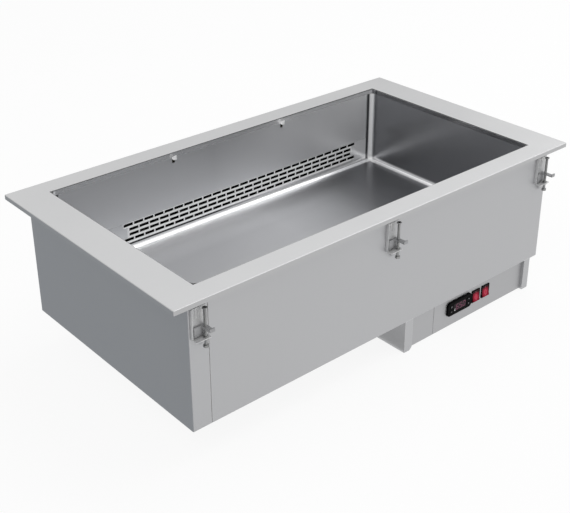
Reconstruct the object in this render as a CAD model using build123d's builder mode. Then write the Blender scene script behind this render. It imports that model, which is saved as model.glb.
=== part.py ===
from build123d import *
import os
from math import cos, radians, sin

# Drop-in bain marie with a hot-air well for three full-size pans, in millimetres.
# The origin is the centre of the well in the plane of the counter top, where the flange's lip rests.
# +X runs to the right along the operator's side, +Y to the rear and +Z up.

# Sheet thicknesses
top_sheet = 1.5
panel_sheet = 1.2
chamber_sheet = 1.0

# Clearances
slide_gap = 0.3
shaft_gap = 0.05
fit_gap = 0.2
seam_gap = 1.0

# Well and its slotted rear wall
well_length = 969.0
well_width = 512.0
well_depth = 205.0
corner_radius = 14.0
cove_radius = 12.0
slot_length = 25.4
slot_height = 7.4
slot_corner = 0.8
slot_pitch = 28.4
slot_columns = 26
row_pitch = 12.6
slot_rows = 4
staggered_rows = (1, 2)
lowest_row_height = 24.3
grille_inset = 171.5
hook_spacing = 330.0
hook_width = 8.0
hook_height = 5.0
hook_reach = 8.0
hook_lip = 9.5
hook_drop = 11.0
hook_slot_height = 10.0

# Flange
lip_drop = 10.0
lip_corner = 3.0
lip_bend = 1.6
rim_bend = 1.5
collar_drop = 12.0
end_overhang = 43.5
side_overhang = 21.0

# Casing and the spaces round the well
front_cavity = 28.3
end_cavity = 34.3
duct_depth = 18.3
chamber_height = 59.3
end_return = 44.0
panel_bend = 2.0
board_thickness = 25.0
rear_board = 10.0
floor_board = 27.0
board_top_gap = 12.0
wiring_hole_length = 90.0
wiring_hole_width = 24.0
wiring_hole_inset = 29.0
wiring_hole_setback = 190.0

# Air chamber and duct
duct_margin = 18.0
chamber_front_inset = 76.0
duct_foot_height = 40.0
return_columns = 9
divider_reach = 110.0

# Heating element
element_radius = 4.0
element_runs = 4
element_pitch = 80.0
element_rear_inset = 140.0
element_divider_gap = 60.0
element_turn_gap = 40.0
element_end_length = 22.0
terminal_radius = 2.0
terminal_length = 12.0
bush_radius = 9.0
bush_thickness = 4.0
spigot_radius = 6.5
spigot_length = 5.0
bracket_count = 2
bracket_sheet = 1.5
bracket_margin = 14.0
bracket_rise = 11.0
bracket_foot = 12.0

# Blower
bearing_space = 12.0
motor_space = 62.0
blower_inset = 45.0
wheel_radius = 19.0
disc_thickness = 1.5
wheel_end_gap = 3.0
blade_count = 20
blade_depth = 5.5
blade_thickness = 0.9
blade_circle = 15.75
blade_angle = 35.0
shaft_radius = 3.0
shaft_hole_radius = 4.5
bearing_radius = 9.0
bearing_length = 9.0
scroll_radius = 25.0
housing_reach = 32.0
tongue_start = (-8.0, 24.0)
tongue_end = (-32.0, 10.0)
post_radius = 3.0
post_length = 14.0
post_y = 18.0
post_z = 15.0
stator_length = 24.0
stator_width = 48.0
stator_height = 42.0
rotor_radius = 10.5
rotor_end_gap = 1.5
bridge_thickness = 3.0
bridge_height = 14.0
coil_depth = 13.0
coil_height = 28.0
coil_overhang = 5.0

# Probe, limit bulb and their clips
bulb_radius = 3.0
probe_length = 40.0
limit_bulb_length = 90.0
clip_size = 10.0
probe_drop = 9.0
probe_inset = 150.0
limit_bulb_drop = 12.0
limit_bulb_y = 150.0
limit_bulb_inset = 330.0

# Control box
box_width = 441.0
box_depth = 300.0
box_height = 81.5
box_right_inset = 23.0
box_flange = 24.0
box_right_flange = 20.5
box_notch = 7.0
box_top_flange = 14.0
top_flange_setback = 60.0
panel_recess = 7.3
panel_rise = 2.0
filler_width = 78.0
screw_shank_radius = 2.0
screw_head_radius = 4.0
screw_head_height = 2.4
screw_tip = 2.0
screws_per_side = 3

# Temperature controller
controller_offset = 188.0
control_drop = 33.5
bezel_width = 85.0
bezel_height = 37.0
bezel_corner = 10.0
bezel_proud = 5.0
bezel_round = 2.0
controller_body_width = 71.0
controller_body_height = 29.0
controller_body_depth = 55.0
window_width = 42.0
window_height = 20.0
window_corner = 2.0
window_depth = 1.5
window_sink = 0.3
key_width = 9.0
key_height = 6.0
key_corner = 1.5
key_spread = 30.0
key_rise = 6.5
key_well_depth = 3.0
key_proud = 0.8
key_travel = 0.6

# Rocker switches
switch_gap = 4.0
switch_spacing = 6.5
switch_bezel_width = 28.0
switch_bezel_height = 33.0
switch_bezel_corner = 2.0
switch_bezel_proud = 2.0
switch_wall = 1.2
switch_body_depth = 24.0
switch_cavity_depth = 12.0
rocker_width = 23.0
rocker_height = 27.5
rocker_edge = 3.2
rocker_dish = 1.8
rocker_back = 3.0
rocker_tilt = 9.0
rocker_pin_radius = 1.5
rocker_pin_length = 0.9
rocker_pivot_sink = 2.0

# Limit thermostat, terminal block and cable gland
limit_offset = 110.0
limit_radius = 17.0
limit_length = 26.0
limit_neck_radius = 6.0
limit_neck_length = 5.0
button_radius = 3.5
button_length = 12.0
button_proud = 4.0
button_travel = 2.5
block_length = 62.0
block_width = 24.0
block_height = 22.0
block_poles = 5
block_pole_pitch = 11.0
block_screw_radius = 3.0
block_screw_depth = 5.0
block_wire_radius = 2.5
block_wire_depth = 8.0
block_inset = 106.5
block_setback = 60.0
gland_inset = 46.5
gland_hex_radius = 14.0
gland_hex_thickness = 5.0
gland_neck_radius = 9.5
gland_neck_inside = 10.0
gland_spigot_length = 9.0
gland_bore_radius = 5.0
gland_body_bore_radius = 6.0
gland_cap_radius = 13.0
gland_cap_wall = 10.0
gland_cap_round = 3.0

# Hold-down clamps
clamp_left_inset = 30.0
clamp_right_inset = 14.0
clamp_count = 3
clamp_rear_inset = 40.0
clamp_bracket_left = 25.0
clamp_bracket_right = 9.0
clamp_bracket_top = 16.0
clamp_tab_drop = 78.0
clamp_sheet = 1.5
clamp_tab_sheet = 2.0
clamp_tab_reach = 17.0
clamp_wall_reach = 6.0
clamp_rib_places = (-15.0, -8.0)
clamp_rib_width = 2.5
clamp_rib_height = 1.2
clamp_rib_length = 22.0
clamp_screw_radius = 3.0
clamp_screw_standoff = 11.0
clamp_screw_top = 15.0
clamp_screw_bottom = 99.0
clamp_collar_radius = 5.0
clamp_collar_height = 2.0
clamp_head_radius = 5.8
clamp_head_height = 5.0
claw_drop = 54.5
claw_thickness = 2.5
claw_left = 21.0
claw_right = 5.0
claw_arm_width = 11.0
claw_tip_reach = 22.4
claw_tip_rise = 4.5
claw_web_drop = 18.0

# Levels, from the flange down
flange_top = lip_drop
flange_under = flange_top - top_sheet
collar_bottom = flange_top - collar_drop
floor_top = flange_top - well_depth
floor_under = floor_top - top_sheet
pan_bottom = floor_under - chamber_height
base_top = pan_bottom - floor_board
casing_bottom = base_top - panel_sheet
box_bottom = casing_bottom - box_height
panel_bottom = box_bottom + panel_rise

# Plan of the well, casing and flange
well_x = well_length / 2
well_y = well_width / 2
tub_x = well_x + top_sheet
tub_y = well_y + top_sheet
inner_x = tub_x + end_cavity
casing_x = inner_x + panel_sheet
inner_front = -tub_y - front_cavity
front_y = inner_front - panel_sheet
pan_rear = tub_y + duct_depth
inner_rear = pan_rear + rear_board
rear_y = inner_rear + panel_sheet
flange_x = casing_x + end_overhang
flange_front = front_y - side_overhang
flange_rear = rear_y + side_overhang

# Plan of the air path
grille_left = -well_x + grille_inset
grille_right = grille_left + slot_columns * slot_pitch
row_levels = [floor_top + lowest_row_height + row * row_pitch for row in range(slot_rows)]
duct_top = row_levels[-1] + slot_height / 2 + duct_margin
duct_foot = pan_bottom + duct_foot_height
pan_left = grille_left - duct_margin
pan_right = grille_right + duct_margin
pan_front = -well_y + chamber_front_inset
pan_floor = pan_bottom + chamber_sheet
divider_x = grille_left + return_columns * slot_pitch
chamber_middle = (pan_floor + floor_under) / 2

# Plan of the control box
box_right = casing_x - box_right_inset
box_left = box_right - box_width
box_rear = front_y + box_depth
panel_front = front_y + panel_recess
panel_rear = panel_front + panel_sheet
box_floor = panel_bottom + panel_sheet
seam_x = box_left + box_flange + filler_width
control_z = casing_bottom - control_drop
controller_x = box_left + controller_offset
first_switch_x = controller_x + bezel_width / 2 + switch_gap + switch_bezel_width / 2
switch_places = {
    "heat_switch": first_switch_x,
    "fan_switch": first_switch_x + switch_bezel_width + switch_spacing,
}
screw_spacing = (box_depth - top_flange_setback) / screws_per_side
screw_places = [
    (edge, front_y + top_flange_setback + screw_spacing * (step + 0.5))
    for edge in (box_left + box_top_flange / 2, box_right - box_top_flange / 2)
    for step in range(screws_per_side)
]


def save(piece, name):
    piece.part.label = name
    export_step(piece.part, f"parts/{name}.step")


def rectangle_between(left, right, near, far, mode=Mode.ADD):
    with Locations(((left + right) / 2, (near + far) / 2)):
        Rectangle(right - left, far - near, mode=mode)


def block_between(x_ends, y_ends, z_ends, mode=Mode.ADD):
    (left, right), (near, far), (low, high) = map(sorted, (x_ends, y_ends, z_ends))
    with Locations(((left + right) / 2, (near + far) / 2, (low + high) / 2)):
        Box(right - left, far - near, high - low, mode=mode)


def bar_along_x(x_ends, y, z, radius, mode=Mode.ADD):
    left, right = sorted(x_ends)
    with Locations(((left + right) / 2, y, z)):
        Cylinder(radius, right - left, rotation=(0, 90, 0), mode=mode)


def bar_along_y(x, y_ends, z, radius, mode=Mode.ADD):
    near, far = sorted(y_ends)
    with Locations((x, (near + far) / 2, z)):
        Cylinder(radius, far - near, rotation=(90, 0, 0), mode=mode)


def bar_along_z(x, y, z_ends, radius, mode=Mode.ADD):
    low, high = sorted(z_ends)
    with Locations((x, y, (low + high) / 2)):
        Cylinder(radius, high - low, mode=mode)


def front_plane(x, y, z):
    return Plane(origin=(x, y, z), x_dir=(1, 0, 0), z_dir=(0, -1, 0))


def rear_plane(x, y, z):
    return Plane(origin=(x, y, z), x_dir=(-1, 0, 0), z_dir=(0, 1, 0))


os.makedirs("parts", exist_ok=True)

# Top flange: flat plate, turned-down lip, and a collar that turns down into the well
with BuildPart() as top_flange:
    with BuildSketch(Plane.XY):
        rectangle_between(-flange_x, flange_x, flange_front, flange_rear)
    extrude(amount=lip_drop)
    fillet(top_flange.edges().filter_by(Axis.Z), lip_corner)
    fillet(top_flange.faces().sort_by(Axis.Z)[-1].edges(), lip_bend)
    with BuildSketch(Plane.XY) as under_lip:
        rectangle_between(-flange_x + top_sheet, flange_x - top_sheet,
                          flange_front + top_sheet, flange_rear - top_sheet)
        fillet(under_lip.vertices(), lip_corner - top_sheet)
    extrude(amount=flange_under, mode=Mode.SUBTRACT)
    with BuildSketch(Plane.XY.offset(collar_bottom)):
        RectangleRounded(2 * tub_x, 2 * tub_y, corner_radius + top_sheet)
    extrude(amount=flange_under - collar_bottom)
    with BuildSketch(Plane.XY.offset(collar_bottom)):
        RectangleRounded(well_length, well_width, corner_radius)
    extrude(amount=collar_drop, mode=Mode.SUBTRACT)
    fillet(top_flange.faces().sort_by(Axis.Z)[-1].inner_wires()[0].edges(), rim_bend)
save(top_flange, "top_flange")

# Well: deep tub with coved corners, rows of staggered slots punched low in its rear wall, and slots for the hooks
hook_places = (-hook_spacing / 2, hook_spacing / 2)
hook_top = flange_top - hook_drop
hook_base = hook_top - hook_height
hook_tip = well_y - hook_reach
with BuildPart() as well_tub:
    with BuildSketch(Plane.XY.offset(floor_under)):
        RectangleRounded(2 * tub_x, 2 * tub_y, corner_radius + top_sheet)
    extrude(amount=collar_bottom - floor_under)
    fillet(well_tub.faces().sort_by(Axis.Z)[0].edges(), cove_radius + top_sheet)
    offset(amount=-top_sheet, openings=well_tub.faces().sort_by(Axis.Z)[-1])
    with BuildSketch(front_plane(0, tub_y, 0)):
        for row, level in enumerate(row_levels):
            stagger = 0.5 if row in staggered_rows else 0
            columns = slot_columns - 1 if row in staggered_rows else slot_columns
            first_slot = grille_left + (stagger + 0.5) * slot_pitch
            with Locations([(first_slot + column * slot_pitch, level) for column in range(columns)]):
                RectangleRounded(slot_length, slot_height, slot_corner)
    extrude(amount=2 * top_sheet, mode=Mode.SUBTRACT)
    for hook_x in hook_places:
        block_between((hook_x - hook_width / 2, hook_x + hook_width / 2), (-tub_y, tub_y),
                      (hook_base - hook_slot_height, hook_base), Mode.SUBTRACT)
save(well_tub, "well_tub")

# Hooks that hold the divider bars, in pairs on the rear and front walls of the well, each above its slot
with BuildPart() as divider_hooks:
    for hook_x in hook_places:
        with BuildSketch(Plane.YZ.offset(hook_x - hook_width / 2)):
            rectangle_between(well_y - top_sheet, well_y, hook_base, hook_top)
            rectangle_between(hook_tip, well_y, hook_base, hook_base + top_sheet)
            rectangle_between(hook_tip, hook_tip + top_sheet, hook_base, hook_base + hook_lip)
        extrude(amount=hook_width)
    mirror(about=Plane.XZ)
save(divider_hooks, "divider_hooks")

# Casing front and rear panels, plain sheets that stop at the left end's return strips
for panel_name, panel_near in (("casing_front", front_y), ("casing_rear", inner_rear)):
    with BuildPart() as casing_panel:
        with BuildSketch(Plane.XY.offset(casing_bottom)):
            rectangle_between(-casing_x + end_return + seam_gap, casing_x,
                              panel_near, panel_near + panel_sheet)
        extrude(amount=flange_under - casing_bottom)
    save(casing_panel, panel_name)

# Casing left end, with a return strip on the front and on the rear
with BuildPart() as casing_left_end:
    with BuildSketch(Plane.XY.offset(casing_bottom)):
        rectangle_between(-casing_x, -inner_x, front_y, rear_y)
        rectangle_between(-casing_x, -casing_x + end_return, front_y, inner_front)
        rectangle_between(-casing_x, -casing_x + end_return, inner_rear, rear_y)
    extrude(amount=flange_under - casing_bottom)
    outer_corners = casing_left_end.edges().filter_by(Axis.Z).group_by(Axis.X)[0]
    fillet(outer_corners, panel_bend)
save(casing_left_end, "casing_left_end")

# Casing right end, set between the long panels
with BuildPart() as casing_right_end:
    with BuildSketch(Plane.XY.offset(casing_bottom)):
        rectangle_between(inner_x, casing_x, inner_front, inner_rear)
    extrude(amount=flange_under - casing_bottom)
save(casing_right_end, "casing_right_end")

# Casing base, with a hole for the wiring and holes for the control box's screws
wiring_x = box_right - wiring_hole_inset
wiring_y = front_y + wiring_hole_setback
with BuildPart() as casing_base:
    with BuildSketch(Plane.XY.offset(casing_bottom)):
        rectangle_between(-inner_x, inner_x, inner_front, inner_rear)
        with Locations((wiring_x, wiring_y)):
            SlotOverall(wiring_hole_length, wiring_hole_width, rotation=90, mode=Mode.SUBTRACT)
        with Locations(screw_places):
            Circle(screw_shank_radius + shaft_gap, mode=Mode.SUBTRACT)
    extrude(amount=panel_sheet)
save(casing_base, "casing_base")

# Insulation boards: floor, front, rear and the two ends
with BuildPart() as insulation_floor:
    with BuildSketch(Plane.XY.offset(base_top)):
        rectangle_between(-inner_x, inner_x, inner_front, inner_rear)
        with Locations((wiring_x, wiring_y)):
            SlotOverall(wiring_hole_length, wiring_hole_width, rotation=90, mode=Mode.SUBTRACT)
    extrude(amount=floor_board)
    for screw_x, screw_y in screw_places:
        bar_along_z(screw_x, screw_y, (base_top, base_top + 2 * screw_tip),
                    2 * screw_shank_radius, Mode.SUBTRACT)
save(insulation_floor, "insulation_floor")

board_top = flange_under - board_top_gap
board_front = inner_front + board_thickness
with BuildPart() as insulation_front:
    block_between((-inner_x, inner_x), (inner_front, board_front), (pan_bottom, board_top))
save(insulation_front, "insulation_front")

with BuildPart() as insulation_rear:
    block_between((-inner_x, inner_x), (pan_rear, inner_rear), (pan_bottom, board_top))
save(insulation_rear, "insulation_rear")

with BuildPart() as insulation_ends:
    for outer_side in (-1, 1):
        board_ends = (outer_side * inner_x, outer_side * (inner_x - board_thickness))
        block_between(board_ends, (board_front, pan_rear), (pan_bottom, board_top))
save(insulation_ends, "insulation_ends")

# Air chamber pan under the well floor, low at the rear where the duct stands on it
element_y = [well_y - element_rear_inset - run * element_pitch for run in range(element_runs)]
element_ends = (element_y[0], element_y[-1])
with BuildPart() as air_chamber_pan:
    block_between((pan_left, pan_right), (pan_front, pan_rear), (pan_bottom, floor_under))
    block_between((pan_left + chamber_sheet, pan_right - chamber_sheet),
                  (pan_front + chamber_sheet, pan_rear - chamber_sheet),
                  (pan_floor, floor_under), Mode.SUBTRACT)
    block_between((pan_left, pan_right), (pan_rear - chamber_sheet, pan_rear),
                  (duct_foot, floor_under), Mode.SUBTRACT)
    for end_y in element_ends:
        bar_along_x((pan_right - chamber_sheet, pan_right), end_y, chamber_middle,
                    spigot_radius + fit_gap, Mode.SUBTRACT)
save(air_chamber_pan, "air_chamber_pan")

# Air duct behind the slots: back plate, top plate and two end plates
with BuildPart() as rear_air_duct:
    block_between((pan_left, pan_right), (pan_rear - chamber_sheet, pan_rear), (duct_foot, duct_top))
    block_between((pan_left, pan_right), (tub_y, pan_rear), (duct_top - chamber_sheet, duct_top))
    for duct_ends in ((pan_left, pan_left + chamber_sheet), (pan_right - chamber_sheet, pan_right)):
        block_between(duct_ends, (tub_y, pan_rear), (floor_under, duct_top))
save(rear_air_duct, "rear_air_duct")

# Divider that parts the return air from the heated air, in the duct and in the chamber
divider_ends = (divider_x, divider_x + chamber_sheet)
with BuildPart() as duct_divider:
    block_between(divider_ends, (tub_y, pan_rear - chamber_sheet), (pan_floor, duct_top - chamber_sheet))
    block_between(divider_ends, (tub_y - divider_reach, tub_y), (pan_floor, floor_under))
save(duct_divider, "duct_divider")

# Tubular heating element: straight runs joined by half turns, both ends through the pan's right wall
element_left = divider_x + element_divider_gap
element_right = pan_right - element_turn_gap - element_pitch / 2
element_tail = pan_right + element_end_length
with BuildPart() as heating_element:
    with BuildLine(Plane.XY.offset(chamber_middle)) as element_path:
        for run, run_y in enumerate(element_y):
            outer_end = element_tail if run in (0, element_runs - 1) else element_right
            ends = [(outer_end, run_y), (element_left, run_y)]
            leftwards = run % 2 == 0
            Line(*(ends if leftwards else reversed(ends)))
            if run < element_runs - 1:
                turn_x = element_left if leftwards else element_right
                bow = -element_pitch / 2 if leftwards else element_pitch / 2
                next_y = element_y[run + 1]
                ThreePointArc((turn_x, run_y), (turn_x + bow, (run_y + next_y) / 2), (turn_x, next_y))
    with BuildSketch(Plane(origin=element_path.line @ 0, z_dir=element_path.line % 0)):
        Circle(element_radius)
    sweep()
    for end_y in element_ends:
        bar_along_x((element_tail, element_tail + terminal_length), end_y, chamber_middle, terminal_radius)
save(heating_element, "heating_element")

# Brackets that carry the element off the pan's floor
bracket_step = (element_right - element_left) / (bracket_count + 1)
with BuildPart() as element_brackets:
    for bracket in range(bracket_count):
        bracket_x = element_left + (bracket + 1) * bracket_step
        with BuildSketch(Plane.YZ.offset(bracket_x)):
            rectangle_between(element_y[-1] - bracket_margin, element_y[0] + bracket_margin,
                              pan_floor, chamber_middle + bracket_rise)
            with Locations([(run_y, chamber_middle) for run_y in element_y]):
                Circle(element_radius + fit_gap, mode=Mode.SUBTRACT)
        extrude(amount=bracket_sheet)
        block_between((bracket_x, bracket_x + bracket_foot),
                      (element_y[-1] - bracket_margin, element_y[0] + bracket_margin),
                      (pan_floor, pan_floor + bracket_sheet))
save(element_brackets, "element_brackets")

# Bushes that seal the element's ends in the pan's wall
with BuildPart() as element_bushes:
    for end_y in element_ends:
        bar_along_x((pan_right, pan_right + bush_thickness), end_y, chamber_middle, bush_radius)
        bar_along_x((pan_right - spigot_length, pan_right), end_y, chamber_middle, spigot_radius)
        bar_along_x((pan_right - spigot_length, pan_right + bush_thickness), end_y, chamber_middle,
                    element_radius + shaft_gap, Mode.SUBTRACT)
save(element_bushes, "element_bushes")

# Tangential blower: housing of two end plates, a scroll under the wheel and a tongue over its outlet
blower_y = tub_y - blower_inset
blower_z = chamber_middle
housing_left = pan_left + chamber_sheet + bearing_space
housing_right = divider_x - motor_space
with BuildPart() as blower_housing:
    with BuildSketch(Plane.YZ.offset(housing_left)):
        with BuildLine():
            CenterArc((blower_y, blower_z), scroll_radius, 0, -90)
            Line((blower_y, blower_z - scroll_radius), (blower_y - housing_reach, blower_z - scroll_radius))
        trace(line_width=chamber_sheet)
        with BuildLine():
            Line((blower_y + tongue_start[0], blower_z + tongue_start[1]),
                 (blower_y + tongue_end[0], blower_z + tongue_end[1]))
        trace(line_width=chamber_sheet)
    extrude(amount=housing_right - housing_left)
    for plate_x in (housing_left, housing_right - chamber_sheet):
        with BuildSketch(Plane.YZ.offset(plate_x)):
            rectangle_between(blower_y - housing_reach, blower_y + housing_reach,
                              pan_floor, floor_under - slide_gap)
            with Locations((blower_y, blower_z)):
                Circle(shaft_hole_radius, mode=Mode.SUBTRACT)
        extrude(amount=chamber_sheet)
save(blower_housing, "blower_housing")

# Blower wheel: ring of blades between two discs, with its shaft ends and the motor's rotor
wheel_left = housing_left + chamber_sheet + wheel_end_gap
wheel_right = housing_right - chamber_sheet - wheel_end_gap
stator_left = housing_right + post_length
stator_right = stator_left + stator_length
bearing_left = housing_left - bearing_length
with BuildPart() as blower_wheel:
    with BuildSketch(Plane.YZ.offset(wheel_left)):
        with Locations((blower_y, blower_z)):
            with PolarLocations(blade_circle, blade_count):
                Rectangle(blade_depth, blade_thickness, rotation=blade_angle)
    extrude(amount=wheel_right - wheel_left)
    for disc_ends in ((wheel_left, wheel_left + disc_thickness), (wheel_right - disc_thickness, wheel_right)):
        bar_along_x(disc_ends, blower_y, blower_z, wheel_radius)
    bar_along_x((bearing_left, wheel_left), blower_y, blower_z, shaft_radius)
    bar_along_x((wheel_right, stator_right + bridge_thickness), blower_y, blower_z, shaft_radius)
    bar_along_x((stator_left + rotor_end_gap, stator_right - rotor_end_gap), blower_y, blower_z, rotor_radius)
save(blower_wheel, "blower_wheel")

# Blower bearing on the outside of the housing's left plate
with BuildPart() as blower_bearing:
    bar_along_x((bearing_left, housing_left), blower_y, blower_z, bearing_radius)
    bar_along_x((bearing_left, housing_left), blower_y, blower_z, shaft_radius + shaft_gap, Mode.SUBTRACT)
save(blower_bearing, "blower_bearing")

# Blower motor: stator on four posts, a bearing bridge and the coil behind the stator
with BuildPart() as blower_motor:
    block_between((stator_left, stator_right),
                  (blower_y - stator_width / 2, blower_y + stator_width / 2),
                  (blower_z - stator_height / 2, blower_z + stator_height / 2))
    bar_along_x((stator_left, stator_right), blower_y, blower_z, rotor_radius + slide_gap, Mode.SUBTRACT)
    for side_y in (-post_y, post_y):
        for side_z in (-post_z, post_z):
            bar_along_x((housing_right, stator_left), blower_y + side_y, blower_z + side_z, post_radius)
    block_between((stator_right, stator_right + bridge_thickness),
                  (blower_y - stator_width / 2, blower_y + stator_width / 2),
                  (blower_z - bridge_height / 2, blower_z + bridge_height / 2))
    bar_along_x((stator_right, stator_right + bridge_thickness), blower_y, blower_z,
                shaft_radius + shaft_gap, Mode.SUBTRACT)
    coil_near = blower_y + stator_width / 2
    block_between((stator_left - coil_overhang, stator_right + coil_overhang),
                  (coil_near, coil_near + coil_depth),
                  (blower_z - coil_height / 2, blower_z + coil_height / 2))
save(blower_motor, "blower_motor")

# Air probe in the duct and limit bulb over the element, each in a clip
probe_x = pan_right - probe_inset
probe_y = pan_rear - chamber_sheet - clip_size / 2
probe_z = floor_under - probe_drop
with BuildPart() as air_probe:
    bar_along_x((probe_x - probe_length / 2, probe_x + probe_length / 2), probe_y, probe_z, bulb_radius)
save(air_probe, "air_probe")

limit_bulb_x = pan_right - limit_bulb_inset
limit_bulb_z = floor_under - limit_bulb_drop
with BuildPart() as limit_bulb:
    bar_along_x((limit_bulb_x - limit_bulb_length / 2, limit_bulb_x + limit_bulb_length / 2),
                limit_bulb_y, limit_bulb_z, bulb_radius)
save(limit_bulb, "limit_bulb")

with BuildPart() as bulb_clips:
    block_between((probe_x - clip_size / 2, probe_x + clip_size / 2),
                  (probe_y - clip_size / 2, pan_rear - chamber_sheet),
                  (probe_z - clip_size / 2, probe_z + clip_size / 2))
    block_between((limit_bulb_x - clip_size / 2, limit_bulb_x + clip_size / 2),
                  (limit_bulb_y - clip_size / 2, limit_bulb_y + clip_size / 2),
                  (limit_bulb_z - clip_size / 2, floor_under))
    bar_along_x((probe_x - clip_size / 2, probe_x + clip_size / 2), probe_y, probe_z,
                bulb_radius + shaft_gap, Mode.SUBTRACT)
    bar_along_x((limit_bulb_x - clip_size / 2, limit_bulb_x + clip_size / 2), limit_bulb_y, limit_bulb_z,
                bulb_radius + shaft_gap, Mode.SUBTRACT)
save(bulb_clips, "bulb_clips")

# Control box sides: plate, front flange, its return, and a top flange for the screws; the left foot is notched
for side_name, edge, inward, flange_edge, notch in (
        ("left", box_left, 1, box_left + box_flange, box_notch),
        ("right", box_right, -1, box_right - box_right_flange, 0)):
    with BuildPart() as box_side:
        block_between((edge, edge + inward * panel_sheet), (front_y, box_rear), (box_bottom, casing_bottom))
        block_between((edge, flange_edge), (front_y, inner_front), (box_bottom, casing_bottom))
        block_between((flange_edge - inward * panel_sheet, flange_edge), (front_y, panel_rear),
                      (box_bottom, casing_bottom))
        block_between((edge, edge + inward * box_top_flange), (front_y + top_flange_setback, box_rear),
                      (casing_bottom - panel_sheet, casing_bottom))
        if notch:
            with BuildSketch(front_plane(0, panel_rear, 0)):
                with BuildLine():
                    Polyline((flange_edge, box_bottom), (flange_edge - inward * notch, box_bottom),
                             (flange_edge, box_bottom + notch), close=True)
                make_face()
            extrude(amount=panel_rear - front_y, mode=Mode.SUBTRACT)
        for screw_x, screw_y in screw_places:
            bar_along_z(screw_x, screw_y, (casing_bottom - panel_sheet, casing_bottom),
                        screw_shank_radius + shaft_gap, Mode.SUBTRACT)
    save(box_side, f"control_box_{side_name}_side")

# Screws that hold the control box's top flanges to the casing base
with BuildPart() as box_screws:
    for screw_x, screw_y in screw_places:
        head_top = casing_bottom - panel_sheet
        bar_along_z(screw_x, screw_y, (head_top - screw_head_height, head_top), screw_head_radius)
        bar_along_z(screw_x, screw_y, (head_top, base_top + screw_tip), screw_shank_radius)
save(box_screws, "box_screws")

# Control box base and rear plate
box_inside = (box_left + panel_sheet, box_right - panel_sheet)
gland_x = box_right - gland_inset
limit_x = box_left + limit_offset
with BuildPart() as control_box_base:
    block_between(box_inside, (panel_rear, box_rear), (panel_bottom, box_floor))
save(control_box_base, "control_box_base")

with BuildPart() as control_box_rear:
    block_between(box_inside, (box_rear - panel_sheet, box_rear), (box_floor, casing_bottom - panel_sheet))
    for hole_x, neck_radius in ((gland_x, gland_neck_radius), (limit_x, limit_neck_radius)):
        bar_along_y(hole_x, (box_rear - panel_sheet, box_rear), control_z,
                    neck_radius + fit_gap, Mode.SUBTRACT)
save(control_box_rear, "control_box_rear")

# Filler panel left of the seam
with BuildPart() as filler_panel:
    block_between((box_left + box_flange, seam_x - seam_gap / 2), (panel_front, panel_rear),
                  (panel_bottom, casing_bottom))
save(filler_panel, "filler_panel")

# Control panel with cut-outs for the controller and the switches
rocker_sweep = (rocker_height / 2) * cos(radians(rocker_tilt)) + rocker_edge * sin(radians(rocker_tilt))
cavity_height = 2 * (rocker_sweep + slide_gap)
cavity_width = rocker_width + 2 * slide_gap
switch_body_width = cavity_width + 2 * switch_wall
switch_body_height = cavity_height + 2 * switch_wall
with BuildPart() as control_panel:
    block_between((seam_x + seam_gap / 2, box_right - box_right_flange), (panel_front, panel_rear),
                  (panel_bottom, casing_bottom))
    with BuildSketch(front_plane(0, panel_rear, 0)):
        with Locations((controller_x, control_z)):
            Rectangle(controller_body_width + 2 * fit_gap, controller_body_height + 2 * fit_gap)
        with Locations([(switch_x, control_z) for switch_x in switch_places.values()]):
            Rectangle(switch_body_width + 2 * fit_gap, switch_body_height + 2 * fit_gap)
    extrude(amount=panel_sheet, mode=Mode.SUBTRACT)
save(control_panel, "control_panel")

# Controller case: bezel on the panel, body behind it, a sunk window and wells for the keys
key_places = {
    "key_set": (-key_spread, key_rise),
    "key_timer": (-key_spread, -key_rise),
    "key_up": (key_spread, key_rise),
    "key_down": (key_spread, -key_rise),
}
bezel_front = panel_front - bezel_proud
with BuildPart() as controller_case:
    with BuildSketch(front_plane(controller_x, panel_front, control_z)):
        RectangleRounded(bezel_width, bezel_height, bezel_corner)
    extrude(amount=bezel_proud)
    fillet(controller_case.faces().sort_by(Axis.Y)[0].edges(), bezel_round)
    with BuildSketch(front_plane(controller_x, panel_front, control_z)):
        Rectangle(controller_body_width, controller_body_height)
    extrude(amount=-controller_body_depth)
    with BuildSketch(front_plane(controller_x, bezel_front, control_z)):
        RectangleRounded(window_width, window_height, window_corner)
    extrude(amount=-window_depth, mode=Mode.SUBTRACT)
    with BuildSketch(front_plane(controller_x, bezel_front, control_z)):
        with Locations(list(key_places.values())):
            RectangleRounded(key_width + 2 * slide_gap, key_height + 2 * slide_gap, key_corner + slide_gap)
    extrude(amount=-key_well_depth, mode=Mode.SUBTRACT)
save(controller_case, "controller_case")

with BuildPart() as controller_window:
    with BuildSketch(front_plane(controller_x, bezel_front + window_depth, control_z)):
        RectangleRounded(window_width - 2 * fit_gap, window_height - 2 * fit_gap, window_corner - fit_gap)
    extrude(amount=window_depth - window_sink)
save(controller_window, "controller_window")

# Controller keys, free to travel into their wells
key_back = key_well_depth - key_travel - slide_gap
for key_name, (key_x, key_z) in key_places.items():
    with BuildPart() as controller_key:
        with BuildSketch(front_plane(controller_x + key_x, bezel_front + key_back, control_z + key_z)):
            RectangleRounded(key_width, key_height, key_corner)
        extrude(amount=key_back + key_proud)
        fillet(controller_key.faces().sort_by(Axis.Y)[0].edges(), key_proud / 2)
    save(controller_key, f"controller_{key_name}")

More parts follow.
